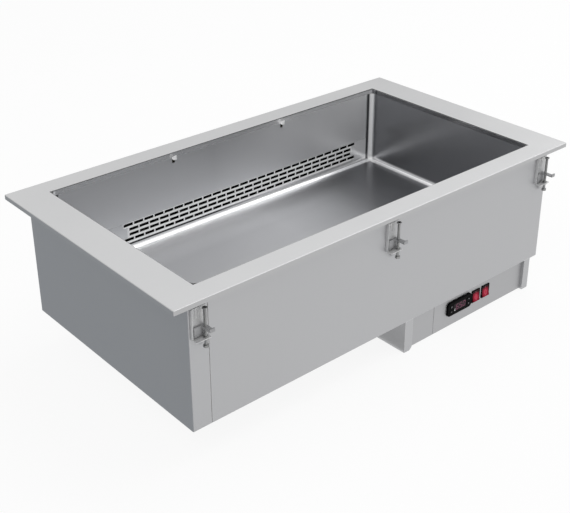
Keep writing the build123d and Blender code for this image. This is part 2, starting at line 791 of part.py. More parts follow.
# Rocker switches: a housing with side holes for the pivot, and a dished rocker pressed in at its top
pivot_y = panel_front - switch_bezel_proud + rocker_pivot_sink
for switch_name, switch_x in switch_places.items():
    with BuildPart() as switch_housing:
        with BuildSketch(front_plane(switch_x, panel_front, control_z)):
            RectangleRounded(switch_bezel_width, switch_bezel_height, switch_bezel_corner)
        extrude(amount=switch_bezel_proud)
        chamfer(switch_housing.faces().sort_by(Axis.Y)[0].edges(), switch_bezel_proud / 4)
        with BuildSketch(front_plane(switch_x, panel_front, control_z)):
            Rectangle(switch_body_width, switch_body_height)
        extrude(amount=-switch_body_depth)
        with BuildSketch(front_plane(switch_x, panel_front - switch_bezel_proud, control_z)):
            Rectangle(cavity_width, cavity_height)
        extrude(amount=-switch_cavity_depth, mode=Mode.SUBTRACT)
        bar_along_x((switch_x - cavity_width / 2 - switch_wall, switch_x + cavity_width / 2 + switch_wall),
                    pivot_y, control_z, rocker_pin_radius + shaft_gap, Mode.SUBTRACT)
    save(switch_housing, f"{switch_name}_housing")

    tilt = radians(rocker_tilt)
    with BuildPart() as switch_rocker:
        rocker_plane = Plane(origin=(switch_x - rocker_width / 2, pivot_y, control_z),
                             x_dir=(0, sin(tilt), cos(tilt)), z_dir=(1, 0, 0))
        with BuildSketch(rocker_plane):
            with BuildLine():
                rocker_end = rocker_height / 2
                ThreePointArc((-rocker_end, rocker_edge), (0, rocker_dish), (rocker_end, rocker_edge))
                Polyline((rocker_end, rocker_edge), (rocker_end, 0), (0, -rocker_back),
                         (-rocker_end, 0), (-rocker_end, rocker_edge))
            make_face()
        extrude(amount=rocker_width)
        pin_reach = rocker_width / 2 + rocker_pin_length
        bar_along_x((switch_x - pin_reach, switch_x + pin_reach), pivot_y, control_z, rocker_pin_radius)
    save(switch_rocker, f"{switch_name}_rocker")

# Limit thermostat on the rear plate, with its reset button in the neck
limit_face = box_rear - panel_sheet
neck_end = box_rear + limit_neck_length
button_back = neck_end + button_proud - button_length
with BuildPart() as limit_thermostat:
    bar_along_y(limit_x, (limit_face - limit_length, limit_face), control_z, limit_radius)
    bar_along_y(limit_x, (limit_face, neck_end), control_z, limit_neck_radius)
    bar_along_y(limit_x, (button_back - button_travel - slide_gap, neck_end), control_z,
                button_radius + shaft_gap, Mode.SUBTRACT)
save(limit_thermostat, "limit_thermostat")

with BuildPart() as reset_button:
    bar_along_y(limit_x, (button_back, button_back + button_length), control_z, button_radius)
    fillet(reset_button.faces().sort_by(Axis.Y)[-1].edges(), button_proud / 4)
save(reset_button, "reset_button")

# Terminal block on the base plate
block_x = box_right - block_inset
block_y = box_rear - block_setback
block_top = box_floor + block_height
with BuildPart() as terminal_block:
    block_between((block_x - block_length / 2, block_x + block_length / 2),
                  (block_y - block_width / 2, block_y + block_width / 2), (box_floor, block_top))
    for pole in range(block_poles):
        pole_x = block_x + (pole - (block_poles - 1) / 2) * block_pole_pitch
        bar_along_z(pole_x, block_y, (block_top - block_screw_depth, block_top),
                    block_screw_radius, Mode.SUBTRACT)
        for wire_side in (-1, 1):
            wire_mouth = block_y + wire_side * block_width / 2
            bar_along_y(pole_x, (wire_mouth, wire_mouth - wire_side * block_wire_depth),
                        box_floor + block_height / 3, block_wire_radius, Mode.SUBTRACT)
save(terminal_block, "terminal_block")

# Cable gland through the rear plate, and its cap
hex_face = box_rear + gland_hex_thickness
spigot_end = hex_face + gland_spigot_length
cap_end = spigot_end + fit_gap + gland_cap_wall
with BuildPart() as cable_gland:
    with BuildSketch(rear_plane(gland_x, box_rear, control_z)):
        RegularPolygon(gland_hex_radius, 6)
    extrude(amount=gland_hex_thickness)
    bar_along_y(gland_x, (limit_face - gland_neck_inside, spigot_end), control_z, gland_neck_radius)
    bar_along_y(gland_x, (limit_face - gland_neck_inside, spigot_end), control_z,
                gland_body_bore_radius, Mode.SUBTRACT)
save(cable_gland, "cable_gland")

with BuildPart() as gland_cap:
    bar_along_y(gland_x, (hex_face, cap_end), control_z, gland_cap_radius)
    fillet(gland_cap.faces().sort_by(Axis.Y)[-1].edges(), gland_cap_round)
    bar_along_y(gland_x, (hex_face, spigot_end + fit_gap), control_z,
                gland_neck_radius + fit_gap, Mode.SUBTRACT)
    bar_along_y(gland_x, (hex_face, cap_end), control_z, gland_bore_radius, Mode.SUBTRACT)
save(gland_cap, "gland_cap")

# Hold-down clamps along the front and rear: brackets, captive screws and travelling claws
clamp_places = []
for face_y, outward, inset in ((front_y, -1, 0), (rear_y, 1, clamp_rear_inset)):
    first_clamp = -casing_x + clamp_left_inset + inset
    clamp_pitch = (casing_x - clamp_right_inset - inset - first_clamp) / (clamp_count - 1)
    clamp_places += [(first_clamp + place * clamp_pitch, face_y, outward) for place in range(clamp_count)]
tab_top = -clamp_tab_drop
tab_under = tab_top - clamp_tab_sheet
with BuildPart() as clamp_brackets:
    for clamp_x, face_y, outward in clamp_places:
        bracket_left = clamp_x - clamp_bracket_left
        bracket_right = clamp_x + clamp_bracket_right
        plate_face = face_y + outward * clamp_sheet
        block_between((bracket_left, bracket_right), (face_y, plate_face), (tab_under, -clamp_bracket_top))
        block_between((bracket_left, bracket_left + clamp_sheet),
                      (face_y, face_y + outward * clamp_wall_reach), (tab_under, -clamp_bracket_top))
        block_between((bracket_left, bracket_right), (face_y, face_y + outward * clamp_tab_reach),
                      (tab_under, tab_top))
        for rib in clamp_rib_places:
            block_between((clamp_x + rib - clamp_rib_width / 2, clamp_x + rib + clamp_rib_width / 2),
                          (plate_face, plate_face + outward * clamp_rib_height),
                          (-clamp_bracket_top - clamp_rib_length, -clamp_bracket_top))
        bar_along_z(clamp_x, face_y + outward * clamp_screw_standoff, (tab_under, tab_top),
                    clamp_screw_radius + shaft_gap, Mode.SUBTRACT)
save(clamp_brackets, "clamp_brackets")

claw_top = -claw_drop
claw_under = claw_top - claw_thickness
tip_top = claw_top + claw_tip_rise
web_foot = claw_under - claw_web_drop
for number, (clamp_x, face_y, outward) in enumerate(clamp_places, 1):
    screw_y = face_y + outward * clamp_screw_standoff
    head_top = -clamp_screw_bottom + clamp_head_height
    with BuildPart() as clamp_screw:
        bar_along_z(clamp_x, screw_y, (head_top, -clamp_screw_top), clamp_screw_radius)
        for collar_low in (tab_under - slide_gap - clamp_collar_height, tab_top + slide_gap,
                           -clamp_screw_top - clamp_collar_height):
            bar_along_z(clamp_x, screw_y, (collar_low, collar_low + clamp_collar_height), clamp_collar_radius)
        with BuildSketch(Plane.XY.offset(-clamp_screw_bottom)):
            with Locations((clamp_x, screw_y)):
                RegularPolygon(clamp_head_radius, 6)
        extrude(amount=clamp_head_height)
    save(clamp_screw, f"clamp_screw_{number}")

    web_face = face_y + outward * (clamp_sheet + clamp_rib_height + slide_gap)
    web_outer = web_face + outward * claw_thickness
    tip_outer = screw_y + outward * claw_tip_reach
    tip_inner = tip_outer - outward * claw_thickness
    claw_edge = clamp_x + claw_right
    arm_ends = (claw_edge - claw_arm_width, claw_edge)
    with BuildPart() as clamp_claw:
        block_between((clamp_x - claw_left, claw_edge), (web_face, web_outer), (web_foot, claw_top))
        block_between(arm_ends, (web_face, tip_outer), (claw_under, claw_top))
        block_between(arm_ends, (tip_inner, tip_outer), (claw_under, tip_top))
        bar_along_z(clamp_x, screw_y, (claw_under, claw_top), clamp_screw_radius + shaft_gap, Mode.SUBTRACT)
    save(clamp_claw, f"clamp_claw_{number}")
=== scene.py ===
import math

import bmesh
import bpy
from mathutils import Matrix, Vector
from mathutils.bvhtree import BVHTree


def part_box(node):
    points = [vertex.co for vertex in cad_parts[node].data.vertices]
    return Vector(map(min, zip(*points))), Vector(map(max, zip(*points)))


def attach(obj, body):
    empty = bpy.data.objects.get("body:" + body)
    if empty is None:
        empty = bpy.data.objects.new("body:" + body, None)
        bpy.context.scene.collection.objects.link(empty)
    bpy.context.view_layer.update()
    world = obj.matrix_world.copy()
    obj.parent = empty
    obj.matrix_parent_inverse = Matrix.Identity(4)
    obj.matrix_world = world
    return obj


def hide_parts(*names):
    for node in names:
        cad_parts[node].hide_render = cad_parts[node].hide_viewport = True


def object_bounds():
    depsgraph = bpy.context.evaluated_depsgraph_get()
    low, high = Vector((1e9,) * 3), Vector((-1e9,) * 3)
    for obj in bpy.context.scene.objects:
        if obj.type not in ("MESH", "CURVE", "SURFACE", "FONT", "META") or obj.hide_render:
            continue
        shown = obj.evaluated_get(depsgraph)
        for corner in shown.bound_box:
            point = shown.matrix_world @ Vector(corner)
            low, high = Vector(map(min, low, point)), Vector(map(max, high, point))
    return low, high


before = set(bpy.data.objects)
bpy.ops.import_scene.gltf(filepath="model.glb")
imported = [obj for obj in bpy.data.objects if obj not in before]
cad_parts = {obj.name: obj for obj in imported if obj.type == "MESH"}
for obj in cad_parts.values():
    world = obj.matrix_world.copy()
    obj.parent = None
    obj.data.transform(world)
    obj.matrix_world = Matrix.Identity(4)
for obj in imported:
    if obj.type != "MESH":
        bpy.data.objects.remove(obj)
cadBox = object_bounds()
mm = 0.001


class Wire:  # one socket of a node tree, so that node sums read as plain Python
    def __init__(self, tree, socket=None):
        self.tree, self.socket = tree, socket

    def node(self, kind, settings=None, sockets=None, out=0):
        made = self.tree.nodes.new(kind)
        for key, value in (settings or {}).items():
            setattr(made, key, value)
        for key, value in (sockets or {}).items():
            for one in value if isinstance(value, list) else [value]:
                if isinstance(one, Wire):
                    self.tree.links.new(one.socket, made.inputs[key])
                else:
                    made.inputs[key].default_value = one
        return Wire(self.tree, made.outputs[out] if made.outputs else None)

    def sums(self, operation, first, second):
        return self.node("ShaderNodeMath", {"operation": operation}, {0: first, 1: second})

    def __add__(self, other):
        return self.sums("ADD", self, other)

    def __radd__(self, other):
        return self.sums("ADD", other, self)

    def __sub__(self, other):
        return self.sums("SUBTRACT", self, other)

    def __rsub__(self, other):
        return self.sums("SUBTRACT", other, self)

    def __mul__(self, other):
        return self.sums("MULTIPLY", self, other)

    def __rmul__(self, other):
        return self.sums("MULTIPLY", other, self)


def freshTree(owner):  # an empty node tree for a material or the world
    owner.use_nodes = True
    owner.node_tree.nodes.clear()
    return Wire(owner.node_tree)


def startFinish(name):
    material = bpy.data.materials.new(name)
    pen = freshTree(material)
    return material, pen, pen.node("ShaderNodeTexCoord", out="Object")


def endFinish(pen, sockets, haze=None):  # haze: a share of duller reflection over the clear one
    shader = pen.node("ShaderNodeBsdfPrincipled", None, sockets)
    if haze:
        dull = pen.node("ShaderNodeBsdfPrincipled", None, {**sockets, "Roughness": haze["rough"]})
        shader = pen.node("ShaderNodeMixShader", None, {0: haze["share"], 1: shader, 2: dull})
    pen.node("ShaderNodeOutputMaterial", None, {"Surface": shader})


def cloud(pen, place, scale, detail=2.0, stretch=None):  # noise, drawn out into lines by stretch
    if stretch:
        place = pen.node("ShaderNodeMapping", None, {"Vector": place, "Scale": stretch})
    return pen.node("ShaderNodeTexNoise", None, {"Vector": place, "Scale": scale, "Detail": detail})


def bounded(pen, value):
    return pen.node("ShaderNodeClamp", None, {"Value": value})


def contrast(pen, noise, gain):  # noise spread out about its middle, from 0 to 1
    return bounded(pen, (noise - 0.5) * gain + 0.5)


def blendColour(pen, share, first, second):
    ends = [c if isinstance(c, Wire) else (*c, 1.0) for c in (first, second)]
    return pen.node("ShaderNodeMix", {"data_type": "RGBA"}, {0: share, 6: ends[0], 7: ends[1]}, out=2)


def relief(pen, height, strength, depth, normal=None):
    sockets = {"Strength": strength, "Distance": depth, "Height": height}
    if normal:
        sockets["Normal"] = normal
    return pen.node("ShaderNodeBump", None, sockets)


edgeReach = 6.0  # how soon a rounded edge counts as near, for rubbed wear and for painted edge highlights


def roundedEdge(pen, radius):  # a softened normal, and how near the surface is to an edge
    rounded = pen.node("ShaderNodeBevel", {"samples": 4}, {"Radius": radius})
    plain = pen.node("ShaderNodeNewGeometry", out="Normal")
    facing = pen.node("ShaderNodeVectorMath", {"operation": "DOT_PRODUCT"}, {0: rounded, 1: plain}, "Value")
    return rounded, bounded(pen, (1 - facing) * edgeReach)


def area(low, high, soft, **change):  # a part of a sheet, and how its finish changes there; a tone given there is painted light and shade
    return {"low": low, "high": high, "soft": soft, **change}


def insideArea(pen, place, zone):  # 1 in the area, fading to 0 outside it
    if zone.get("mirror"):  # the same at both ends and on both sides
        place = pen.node("ShaderNodeVectorMath", {"operation": "ABSOLUTE"}, {0: place})
    share = 1.0
    for axis, start, end, fade in zip("XYZ", zone["low"], zone["high"], zone["soft"]):
        along = pen.node("ShaderNodeSeparateXYZ", None, {"Vector": place}, axis)
        share = share * bounded(pen, (along - start) * (1 / fade)) * bounded(pen, (end - along) * (1 / fade))
    return 1 - share if zone.get("outside") else share


sheetBasics = {"metal": 1.0, "grainRough": 0.06, "grainDepth": 0.0001, "rubAndGlintShare": 0.5, "rubAndGlintMetal": 0.0,
               "areas": [], "haze": None}


def sheetSteel(name, look):  # rolled sheet with a fine grain, areas that are duller or brighter with painted light and shade in their tones, and lighter edges that are painted highlights on the well and the casing
    material, pen, place = startFinish(name)
    look = {**sheetBasics, **look}
    grain = cloud(pen, place, 1.0, 3.0, look["grain"])
    patch = cloud(pen, place, look["patchScale"], 3.0)
    share = (grain - 0.5) * look["grainTone"] + (patch - 0.5) * look["patchTone"] + 0.5
    colour = blendColour(pen, bounded(pen, share), look["dark"], look["light"])
    rough = (patch - 0.5) * look["roughSpread"] + (grain - 0.5) * look["grainRough"] + look["rough"]
    metal, normal = look["metal"], None
    for zone in look["areas"]:
        within = insideArea(pen, place, zone)
        if "tone" in zone:
            colour = blendColour(pen, within, colour, zone["tone"])
        if "rough" in zone:
            rough = rough + within * zone["rough"]
        if "metal" in zone:
            metal = metal + within * zone["metal"]
    if "edge" in look:
        normal, edge = roundedEdge(pen, look["edge"])
        if "edgeArea" in look:
            near = insideArea(pen, place, look["edgeArea"])
            plain = pen.node("ShaderNodeNewGeometry", out="Normal")
            normal = pen.node("ShaderNodeMix", {"data_type": "VECTOR"}, {0: near, 4: plain, 5: normal}, out=1)
            edge = edge * near
        # lighter edges: painted highlight on the well's slot rows and on the casing's edges
        colour = blendColour(pen, edge * look["rubAndGlintShare"], colour, look["rubAndGlint"])
        if look["rubAndGlintMetal"]:
            metal = metal + edge * look["rubAndGlintMetal"]
    endFinish(pen, {"Base Color": colour, "Roughness": bounded(pen, rough),
                    "Metallic": bounded(pen, metal) if isinstance(metal, Wire) else metal,
                    "Normal": relief(pen, grain, look["bump"], look["grainDepth"], normal)}, look["haze"])
    return material


# Flange: the throat round the opening is smoother than the flat top; the rear collar carries painted
# reflection, lighter towards its right end, and the inner bend, the collar at the right end and the outer
# fold carry painted shade
rimX, rimY, collarTop = 0.4862, 0.2577, 0.0083
sharp = (0.0007,) * 3
throat = area((-rimX, -rimY, -0.01), (rimX, rimY, 0.02), sharp, rough=-0.2)
# painted reflection: the rear collar's tone, lighter towards its right end
rearCollar = area((-0.49, 0.25, -0.01), (0.478, rimY, collarTop), (0.004, 0.0007, 0.0007),
                  tone=(0.56, 0.565, 0.572), metal=-0.26)
rearCollarRight = area((-0.15, 0.25, -0.01), (0.85, rimY, collarTop), (0.37, 0.0007, 0.0007),
                       tone=(0.86, 0.862, 0.87), metal=-0.17)
# painted shade: the collar at the right end darkened
endCollarShade = area((0.478, -0.26, -0.01), (0.495, rimY, collarTop), (0.004, 0.0007, 0.0007),
                 tone=(0.2, 0.202, 0.208))
# painted shade: a dark line along the inner bend round the opening
innerBendShade = area((-rimX, -rimY, collarTop), (rimX, rimY, 0.02), sharp, tone=(0.1, 0.101, 0.103))
# painted shade: the outer fold and lip darker than the flat top
outerFoldShade = area((-0.5635, -0.3065, -0.1), (0.5635, 0.3065, 0.1), (0.0004,) * 3, outside=True,
                 tone=(0.48, 0.482, 0.487))
flangeLook = {"dark": (0.575, 0.58, 0.588), "light": (0.64, 0.64, 0.642), "grain": (6.0, 900.0, 900.0),
              "grainTone": 0.5, "patchScale": 5.0, "patchTone": 0.4,
              "rough": 0.36, "roughSpread": 0.1, "bump": 0.1,
              "areas": [throat, rearCollar, rearCollarRight, endCollarShade, innerBendShade, outerFoldShade]}

# Well: painted reflection and shade: the floor and the walls are painted lighter and darker area by area, the
# coves and the slot webs carry painted highlights, and dark painted lines run above the rear cove and beside
# the upright corners
floorTop, wallFoot, wallTop, rearFace = -0.182, -0.19, 0.1, 0.243
slotTop, coveHighlight = -0.1265, (0.97, 0.97, 0.975)
# painted reflection and shade: the floor darker at the left, lighter at the rear, darker at the front and
# darkest at the right
floorLeft = area((-0.8, -0.3, -0.3), (0.3, 0.3, floorTop), (0.3, 0.012, 0.012),
                 tone=(0.51, 0.515, 0.53), rough=0.38)
floorRear = area((-0.8, 0.135, -0.3), (0.9, 0.4, floorTop), (0.1, 0.08, 0.012), tone=(0.74, 0.745, 0.76))
floorFront = area((-0.8, -0.5, -0.3), (0.9, 0.155, floorTop), (0.1, 0.1, 0.012), tone=(0.46, 0.464, 0.477))
floorRight = area((0.05, -0.3, -0.3), (0.9, 0.3, floorTop), (0.3, 0.012, 0.012),
                  tone=(0.26, 0.264, 0.278), rough=0.25)
# painted shade: the right wall painted dark
rightWall = area((0.472, -0.3, wallFoot), (0.6, 0.3, wallTop), (0.008, 0.01, 0.01),
                 tone=(0.27, 0.274, 0.286), rough=0.13, metal=-0.15)
# painted reflection: the rear wall darker at the upper left and lighter towards its right end
rearLeft = area((-0.9, rearFace, wallFoot), (0.32, 0.3, wallTop), (0.3, 0.008, 0.01), tone=(0.6, 0.606, 0.62))
rearLeftTop = area((-0.9, rearFace, -0.11), (0.32, 0.3, 0.4), (0.3, 0.008, 0.12), tone=(0.475, 0.48, 0.491))
rearRight = area((-0.05, rearFace, wallFoot), (0.49, 0.3, wallTop), (0.35, 0.008, 0.01),
                 tone=(0.93, 0.935, 0.95), metal=-0.2)
rearEnd = area((0.25, rearFace, wallFoot), (0.9, 0.3, wallTop), (0.2, 0.008, 0.01),
               tone=(0.94, 0.945, 0.955), metal=-0.16)
rearWall = area((-0.5, rearFace, wallFoot), (0.49, 0.3, wallTop), (0.006, 0.008, 0.01), metal=-0.26)
upperRear = area((-0.47, 0.25, -0.1272), (0.466, 0.27, wallTop), (0.004, 0.002, 0.0015), rough=0.26)
slotEnd = area((0.415, 0.25, -0.183), (0.468, 0.27, slotTop), (0.003, 0.002, 0.0015), metal=-0.22)
# painted highlight: the webs between the slots near-white
slotZone = area((-0.3045, 0.25, -0.1795), (0.417, 0.27, slotTop), (0.008, 0.002, 0.0015),
                tone=(0.98, 0.98, 0.985), metal=-0.62)
# painted highlights: the coves along the floor, at the ends and in the upright corners
longCove = area((-1.0, 0.244, 0.183), (1.0, 0.3, 0.3), (0.004,) * 3, mirror=True, tone=coveHighlight, metal=-0.2)
# painted reflection: a dark line just above the rear cove
coveLine = area((-0.67, 0.25, -0.1846), (0.15, 0.27, -0.1791), (0.2, 0.002, 0.0008), tone=(0.05, 0.05, 0.052))
# painted shade: a dark line beside each upright corner
cornerShade = area((0.466, 0.2425, -1.0), (0.4755, 0.3, 0.19), (0.0015,) * 3, mirror=True,
                   tone=(0.16, 0.16, 0.165), metal=0.3)
endCove = area((0.4725, -1.0, 0.183), (0.6, 1.0, 0.3), (0.004,) * 3, mirror=True, tone=coveHighlight, metal=-0.35)
uprightCove = area((0.4755, 0.247, -1.0), (0.6, 0.3, 1.0), (0.002,) * 3, mirror=True, tone=coveHighlight,
                   metal=-0.35)
# the lighter rounded edges, only on the slot rows, are a painted highlight on the slot edges
wellLook = {"dark": (0.6, 0.608, 0.625), "light": (0.645, 0.65, 0.66), "rubAndGlint": (0.97, 0.97, 0.97),
            "rubAndGlintShare": 0.95, "rubAndGlintMetal": -0.1, "grain": (8.0, 700.0, 700.0), "grainTone": 0.4,
            "patchScale": 4.0, "patchTone": 0.4, "rough": 0.1, "roughSpread": 0.03, "grainRough": 0.02,
            "bump": 0.004, "haze": {"share": 0.3, "rough": 0.285},
            "areas": [floorLeft, floorRear, floorFront, floorRight, rightWall, rearLeft, rearLeftTop,
                      rearRight, rearEnd, rearWall, upperRear, slotEnd, slotZone, longCove, coveLine,
                      cornerShade, endCove, uprightCove],
            "edge": 0.004, "edgeArea": area((-0.5, 0.25, -0.1805), (0.5, 0.27, -0.1205), (0.002,) * 3)}
# near-white and barely metallic: a painted highlight over the whole steel hook
hookLook = {"dark": (0.92, 0.92, 0.92), "light": (0.97, 0.97, 0.97), "rubAndGlint": (0.98, 0.98, 0.98),
            "grain": (900.0, 900.0, 40.0), "grainTone": 0.6, "patchScale": 60.0, "patchTone": 0.5,
            "rough": 0.5, "roughSpread": 0.1, "bump": 0.08, "edge": 0.0004, "metal": 0.1}
# the lighter rounded edges here are a painted edge highlight
casingLook = {"dark": (0.465, 0.47, 0.483), "light": (0.525, 0.526, 0.532), "rubAndGlint": (0.84, 0.84, 0.84),
              "rubAndGlintShare": 0.7, "grain": (260.0, 260.0, 14.0), "grainTone": 0.35, "patchScale": 7.0,
              "patchTone": 0.5, "rough": 0.5, "roughSpread": 0.1, "bump": 0.06, "edge": 0.0011}
panelLook = {"dark": (0.425, 0.428, 0.438), "light": (0.48, 0.481, 0.488), "rubAndGlint": (0.62, 0.62, 0.62),
             "grain": (14.0, 260.0, 260.0), "grainTone": 0.35, "patchScale": 9.0, "patchTone": 0.5,
             "rough": 0.52, "roughSpread": 0.1, "bump": 0.06, "edge": 0.0005}
flangeSteel = sheetSteel("flangeSteel", flangeLook)
wellSteel = sheetSteel("wellSteel", wellLook)
hookSteel = sheetSteel("hookSteel", hookLook)
casingSteel = sheetSteel("casingSteel", casingLook)
panelSteel = sheetSteel("panelSteel", panelLook)

plating = {"contrast": 2.2, "poreRough": 0.15, "depth": 0.0002, "rubAndGlintShare": 0.5}


def platedMetal(name, look):  # cast, drawn or plated metal: mottled, with brighter rubbed edges
    material, pen, place = startFinish(name)
    patch = cloud(pen, place, look["patchScale"], 4.0)
    pores = cloud(pen, place, look["poreScale"], 2.0)
    rounded, edge = roundedEdge(pen, look["edge"])
    colour = blendColour(pen, contrast(pen, patch, plating["contrast"]), look["dark"], look["light"])
    rough = (patch - 0.5) * look["roughSpread"] + (pores - 0.5) * plating["poreRough"] + look["rough"]
    endFinish(pen, {"Base Color": blendColour(pen, edge * plating["rubAndGlintShare"], colour, look["rubAndGlint"]),
                    "Roughness": bounded(pen, rough), "Metallic": look.get("metal", 1.0),
                    "Normal": relief(pen, pores, look["bump"], plating["depth"], rounded)})
    return material


zincLook = {"dark": (0.24, 0.245, 0.25), "light": (0.36, 0.36, 0.355), "rubAndGlint": (0.55, 0.55, 0.54),
            "patchScale": 90.0, "poreScale": 900.0, "rough": 0.4, "roughSpread": 0.2,
            "bump": 0.2, "edge": 0.0004}
bracketLook = {"dark": (0.56, 0.565, 0.575), "light": (0.66, 0.66, 0.658), "rubAndGlint": (0.68, 0.68, 0.67),
               "patchScale": 70.0, "poreScale": 900.0, "rough": 0.5, "roughSpread": 0.16,
               "bump": 0.15, "edge": 0.0004, "metal": 0.45}
clawLook = {"dark": (0.31, 0.314, 0.323), "light": (0.4, 0.402, 0.407), "rubAndGlint": (0.42, 0.42, 0.42),
            "patchScale": 70.0, "poreScale": 900.0, "rough": 0.45, "roughSpread": 0.16,
            "bump": 0.15, "edge": 0.0003, "metal": 0.6}
sheathLook = {"dark": (0.1, 0.085, 0.075), "light": (0.2, 0.17, 0.14), "rubAndGlint": (0.3, 0.27, 0.24),
              "patchScale": 60.0, "poreScale": 800.0, "rough": 0.5, "roughSpread": 0.2,
              "bump": 0.3, "edge": 0.0004}
brassLook = {"dark": (0.55, 0.36, 0.13), "light": (0.72, 0.52, 0.22), "rubAndGlint": (0.85, 0.68, 0.36),
             "patchScale": 120.0, "poreScale": 900.0, "rough": 0.32, "roughSpread": 0.2,
             "bump": 0.2, "edge": 0.0004}
ironLook = {"dark": (0.14, 0.14, 0.15), "light": (0.26, 0.26, 0.27), "rubAndGlint": (0.45, 0.45, 0.45),
            "patchScale": 80.0, "poreScale": 700.0, "rough": 0.52, "roughSpread": 0.2,
            "bump": 0.35, "edge": 0.0004}
aluminiumLook = {"dark": (0.6, 0.6, 0.61), "light": (0.74, 0.74, 0.74), "rubAndGlint": (0.88, 0.88, 0.88),
                 "patchScale": 70.0, "poreScale": 900.0, "rough": 0.34, "roughSpread": 0.2,
                 "bump": 0.2, "edge": 0.0003}
probeLook = {"dark": (0.5, 0.5, 0.51), "light": (0.64, 0.64, 0.64), "rubAndGlint": (0.8, 0.8, 0.8),
             "patchScale": 110.0, "poreScale": 900.0, "rough": 0.24, "roughSpread": 0.15,
             "bump": 0.1, "edge": 0.0003}
zincSteel = platedMetal("zincSteel", zincLook)
bracketSteel = platedMetal("bracketSteel", bracketLook)
clawSteel = platedMetal("clawSteel", clawLook)
elementSheath = platedMetal("elementSheath", sheathLook)
bushBrass = platedMetal("bushBrass", brassLook)
motorIron = platedMetal("motorIron", ironLook)
wheelAluminium = platedMetal("wheelAluminium", aluminiumLook)
probeSteel = platedMetal("probeSteel", probeLook)

zincFlowers = {"scale": 95.0, "hazeScale": 30.0, "tone": 0.7, "hazeTone": 0.4, "rough": 0.18,
               "hazeRough": 0.1, "bump": 0.15, "depth": 0.0002, "edge": 0.0006, "rubAndGlintShare": 0.4}


def spangledSheet(name, look):  # hot-dip zinc with its crystal flowers
    material, pen, place = startFinish(name)
    z = zincFlowers
    flower = pen.node("ShaderNodeTexVoronoi", None, {"Vector": place, "Scale": z["scale"]}, "Color")
    share = pen.node("ShaderNodeSeparateColor", None, {"Color": flower}, "Red")
    haze = cloud(pen, place, z["hazeScale"], 3.0)
    rounded, edge = roundedEdge(pen, z["edge"])
    tone = bounded(pen, share * z["tone"] + haze * z["hazeTone"])
    colour = blendColour(pen, tone, look["dark"], look["light"])
    rough = share * z["rough"] + haze * z["hazeRough"] + look["rough"]
    endFinish(pen, {"Base Color": blendColour(pen, edge * z["rubAndGlintShare"], colour, look["rubAndGlint"]),
                    "Roughness": bounded(pen, rough), "Metallic": 1.0,
                    "Normal": relief(pen, haze, z["bump"], z["depth"], rounded)})
    return material


sheetLook = {"dark": (0.34, 0.35, 0.36), "light": (0.5, 0.51, 0.52), "rubAndGlint": (0.62, 0.62, 0.62),
             "rough": 0.34}
ductShadeLook = {"dark": (0.012, 0.0115, 0.011), "light": (0.03, 0.029, 0.028), "rubAndGlint": (0.05, 0.048, 0.046),
               "rough": 0.55}
galvanisedSheet = spangledSheet("galvanisedSheet", sheetLook)
ductShadeSheet = spangledSheet("ductShadeSheet", ductShadeLook)  # the duct, the pan and the divider near-black: painted shade for the unlit inside seen through the slots


def matFibre(name, look):  # pressed mineral fibre
    material, pen, place = startFinish(name)
    strands = cloud(pen, place, 1.0, 5.0, look["strand"])
    tufts = cloud(pen, place, look["tuftScale"], 4.0)
    share = (strands - 0.5) * look["strandTone"] + (tufts - 0.5) * look["tuftTone"] + 0.5
    endFinish(pen, {"Base Color": blendColour(pen, bounded(pen, share), look["dark"], look["light"]),
                    "Roughness": bounded(pen, strands * look["strandRough"] + look["rough"]),
                    "Normal": relief(pen, strands + tufts, look["bump"], look["depth"])})
    return material


woolLook = {"dark": (0.1, 0.085, 0.05), "light": (0.3, 0.26, 0.17), "strand": (60.0, 60.0, 900.0),
            "tuftScale": 120.0, "strandTone": 1.6, "tuftTone": 1.2, "rough": 0.8, "strandRough": 0.2,
            "bump": 0.8, "depth": 0.002}
mineralWool = matFibre("mineralWool", woolLook)

moulding = {"hazeScale": 60.0, "contrast": 1.8, "hazeRough": 0.16, "grainRough": 0.1, "depth": 0.0001,
            "rubAndGlintShare": 0.35}


def mouldedPlastic(name, look):
    material, pen, place = startFinish(name)
    grain = cloud(pen, place, look["grainScale"], 2.0)
    haze = cloud(pen, place, moulding["hazeScale"], 3.0)
    rounded, edge = roundedEdge(pen, look["edge"])
    colour = blendColour(pen, contrast(pen, haze, moulding["contrast"]), look["dark"], look["light"])
    rough = (haze - 0.5) * moulding["hazeRough"] + (grain - 0.5) * moulding["grainRough"] + look["rough"]
    endFinish(pen, {"Base Color": blendColour(pen, edge * moulding["rubAndGlintShare"], colour, look["rubAndGlint"]),
                    "Roughness": bounded(pen, rough), "Specular IOR Level": look["shine"],
                    "Normal": relief(pen, grain, look["bump"], moulding["depth"], rounded)})
    return material


blackLook = {"dark": (0.001, 0.001, 0.0012), "light": (0.003, 0.003, 0.0034), "rubAndGlint": (0.008, 0.008, 0.0085),
             "grainScale": 2200.0, "rough": 0.42, "bump": 0.3, "edge": 0.0005, "shine": 0.025}
keyLook = {"dark": (0.003, 0.003, 0.0034), "light": (0.007, 0.007, 0.0075), "rubAndGlint": (0.02, 0.02, 0.02),
           "grainScale": 2600.0, "rough": 0.36, "bump": 0.15, "edge": 0.0004, "shine": 0.04}
rubberLook = {"dark": (0.016, 0.016, 0.016), "light": (0.035, 0.034, 0.033), "rubAndGlint": (0.06, 0.06, 0.06),
              "grainScale": 1500.0, "rough": 0.75, "bump": 0.4, "edge": 0.0004, "shine": 0.3}
paleLook = {"dark": (0.6, 0.58, 0.52), "light": (0.74, 0.72, 0.66), "rubAndGlint": (0.82, 0.81, 0.77),
            "grainScale": 1800.0, "rough": 0.45, "bump": 0.2, "edge": 0.0004, "shine": 0.5}
